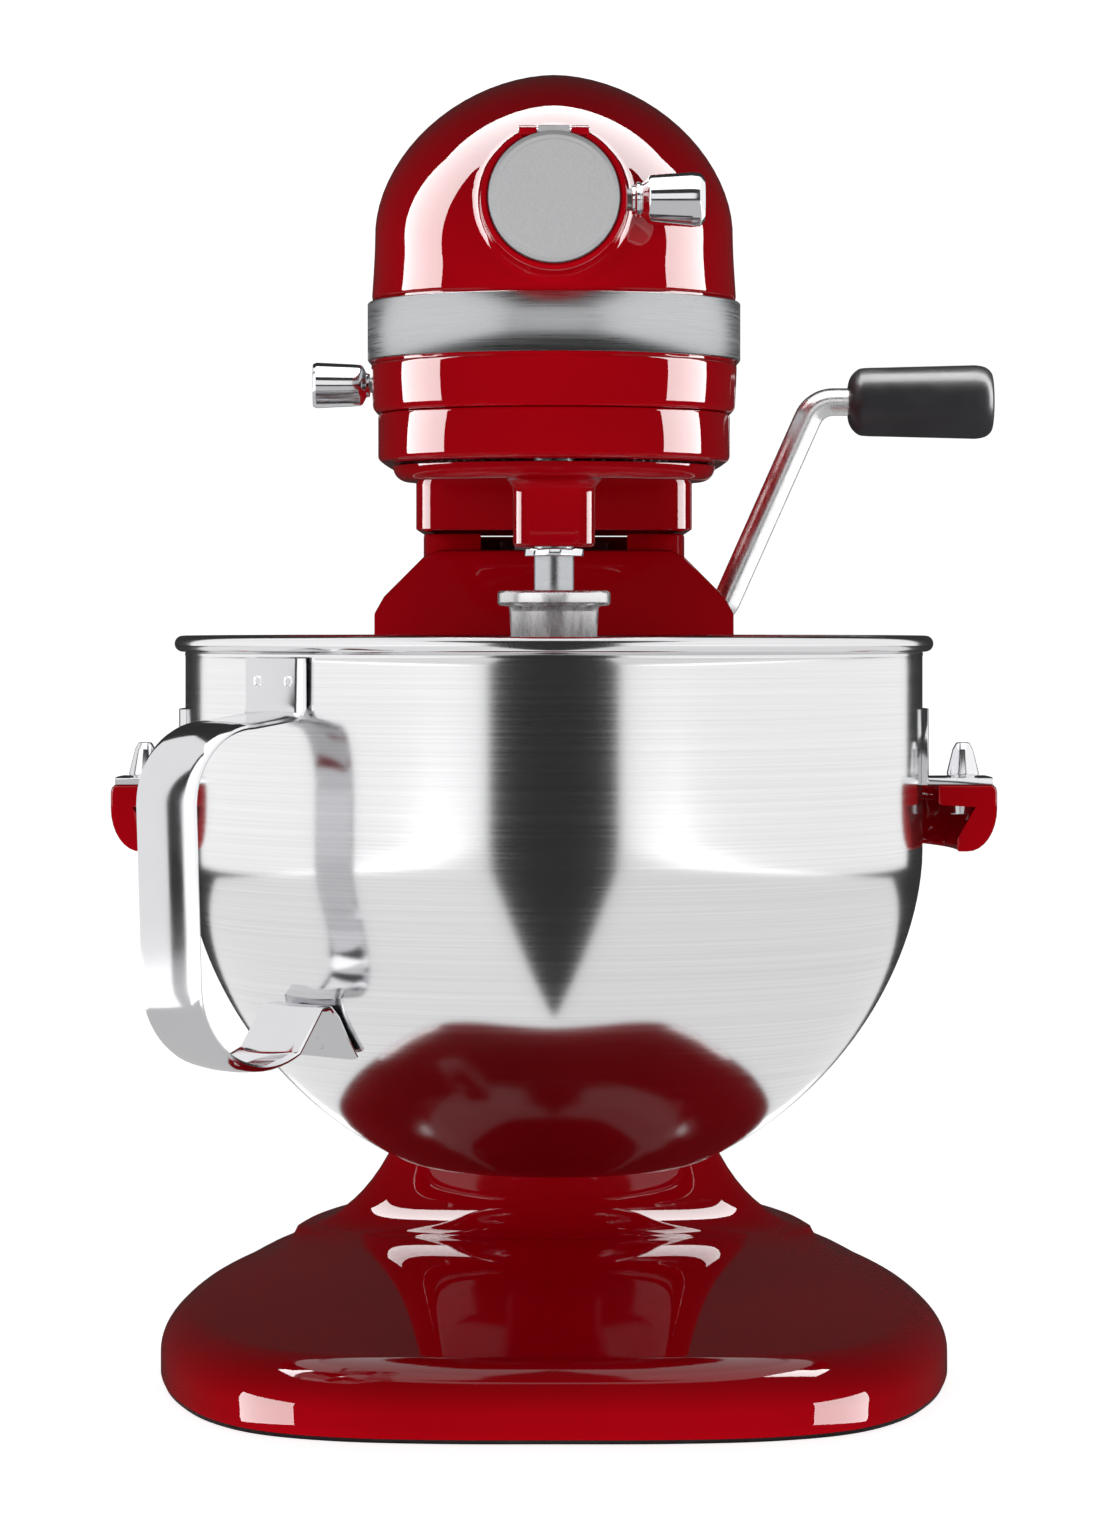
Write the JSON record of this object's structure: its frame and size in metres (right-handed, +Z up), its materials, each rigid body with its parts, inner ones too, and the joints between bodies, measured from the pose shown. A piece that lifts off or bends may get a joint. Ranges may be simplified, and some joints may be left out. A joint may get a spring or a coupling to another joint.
{
  "type": "stand mixer",
  "caption": "Bowl-lift stand mixer: cast pedestal and head, planetary beater drive, front accessory hub, steel bowl on a lifting support worked by a side lever.",
  "frame": {"origin": "on the bench under the axis of the planetary and the bowl, at the middle rubber foot's sole", "axes": "+Z up, -Y towards the attachment hub (front), +X towards the bowl-lift lever"},
  "size_m": [0.301, 0.3766, 0.4179],
  "materials": {
    "enamel": "gloss baked enamel over cast metal",
    "bowl_steel": "fine horizontal brushing",
    "polished": "polished plating",
    "band": "satin anodised",
    "burnished": "burnished casting",
    "machined": "turned and ground",
    "bronze": "sintered bronze",
    "copper": "varnished copper",
    "laminations": "stacked sheet",
    "sheet": "zinc-plated sheet",
    "rubber": "matt",
    "grip": "charcoal, soft sheen",
    "board": "circuit board",
    "fan": "moulded"
  },
  "bodies": {
    "frame": {"pedestal": "enamel", "bottom_plate": "sheet", "bottom_screws": "machined", "rubber_feet": "rubber", "mains_inlet": "rubber", "guide_rails": "machined", "rail_screws": "machined", "lift_shaft_bush": "bronze", "head_housing": "enamel", "lower_gearcase": "enamel", "gearcase_screws": "machined", "rear_cover": "enamel", "rear_cover_screw": "machined", "trim_band": "band", "hub_sleeve": "machined", "hub_bearing_housing": "machined", "hub_shaft_bush": "bronze", "ring_gear": "machined", "planetary_bearing": "bronze", "motor_stator": "laminations", "motor_windings": "copper", "motor_brackets": "sheet", "motor_bearings": "machined", "brush_holders": "bronze", "control_board": "board", "intermediate_bearing": "bronze", "hub_cover_pin": "polished"},
    "planetary": {"planetary_housing": "enamel", "planetary_shaft": "machined", "centre_spur_gear": "machined", "centre_bevel_gear": "machined", "beater_bushes": "bronze"},
    "beater": {"beater_shaft": "machined", "planet_pinion": "machined", "beater_washer": "polished", "flat_beater": "burnished"},
    "second_shaft": {"intermediate_shaft": "machined", "intermediate_pinion": "machined", "worm_wheel": "bronze"},
    "armature": {"motor_shaft": "machined", "motor_armature": "copper", "motor_fan": "fan"},
    "hub_drive": {"hub_drive_shaft": "machined", "hub_bevel_gear": "machined"},
    "hub_door": {"hub_cover": "band"},
    "clamp_thread": {"clamp_screw": "machined"},
    "clamp_grip": {"clamp_knob": "polished"},
    "speed_control": {"speed_lever": "machined", "speed_knob": "polished"},
    "lift_handle": {"lift_shaft": "machined", "lift_lever": "polished", "lever_grip": "grip"},
    "bowl_carrier": {"bowl_support": "enamel", "locating_pins": "polished", "bowl_latch": "sheet", "lift_link": "sheet", "bowl": "bowl_steel", "bowl_handle": "polished", "bowl_brackets": "polished", "bowl_latch_hook": "polished"}
  },
  "joints": [
    {"name": "planetary_spin", "type": "hinge", "parent": "frame", "child": "planetary", "pos_m": [0, 0, 0.3], "axis": [0, 0, 1], "continuous": true},
    {"name": "beater_spin", "type": "hinge", "parent": "planetary", "child": "beater", "pos_m": [0, -0.03, 0.27], "axis": [0, 0, 1], "continuous": true},
    {"name": "second_shaft_spin", "type": "hinge", "parent": "frame", "child": "second_shaft", "pos_m": [-0.027, 0.045, 0.33], "axis": [0, 0, 1], "continuous": true},
    {"name": "motor_spin", "type": "hinge", "parent": "frame", "child": "armature", "pos_m": [0, 0.105, 0.352], "axis": [0, 1, 0], "continuous": true},
    {"name": "hub_drive_spin", "type": "hinge", "parent": "frame", "child": "hub_drive", "pos_m": [0, -0.045, 0.37], "axis": [0, 1, 0], "continuous": true},
    {"name": "hub_cover_turn", "type": "hinge", "parent": "frame", "child": "hub_door", "pos_m": [0, -0.0895, 0.3902], "axis": [-1, 0, 0], "range_deg": [0, 110]},
    {"name": "clamp_screw_travel", "type": "slide", "parent": "frame", "child": "clamp_thread", "axis": [1, 0, 0], "range_m": [0, 0.004]},
    {"name": "clamp_knob_turn", "type": "hinge", "parent": "clamp_thread", "child": "clamp_grip", "pos_m": [0.035, -0.08, 0.37], "axis": [1, 0, 0], "range_deg": [0, 1152]},
    {"name": "speed_slide", "type": "slide", "parent": "frame", "child": "speed_control", "axis": [0, -1, 0], "range_m": [0, 0.045]},
    {"name": "lift_lever_turn", "type": "hinge", "parent": "frame", "child": "lift_handle", "pos_m": [0, 0.158, 0.242], "axis": [-1, 0, 0], "range_deg": [0, 100]},
    {"name": "bowl_lift", "type": "slide", "parent": "frame", "child": "bowl_carrier", "axis": [0, 0, -1], "range_m": [0, 0.0337]}
  ],
  "couplings": [
    {"joint": "beater_spin", "follows": "planetary_spin", "ratio": -3},
    {"joint": "second_shaft_spin", "follows": "planetary_spin", "ratio": -4},
    {"joint": "motor_spin", "follows": "planetary_spin", "ratio": 16},
    {"joint": "hub_drive_spin", "follows": "planetary_spin", "ratio": -1.4444},
    {"joint": "clamp_knob_turn", "follows": "clamp_screw_travel", "rad_per_m": 5026.5},
    {"joint": "lift_lever_turn", "follows": "bowl_lift", "rad_per_m": 51.789}
  ]
}
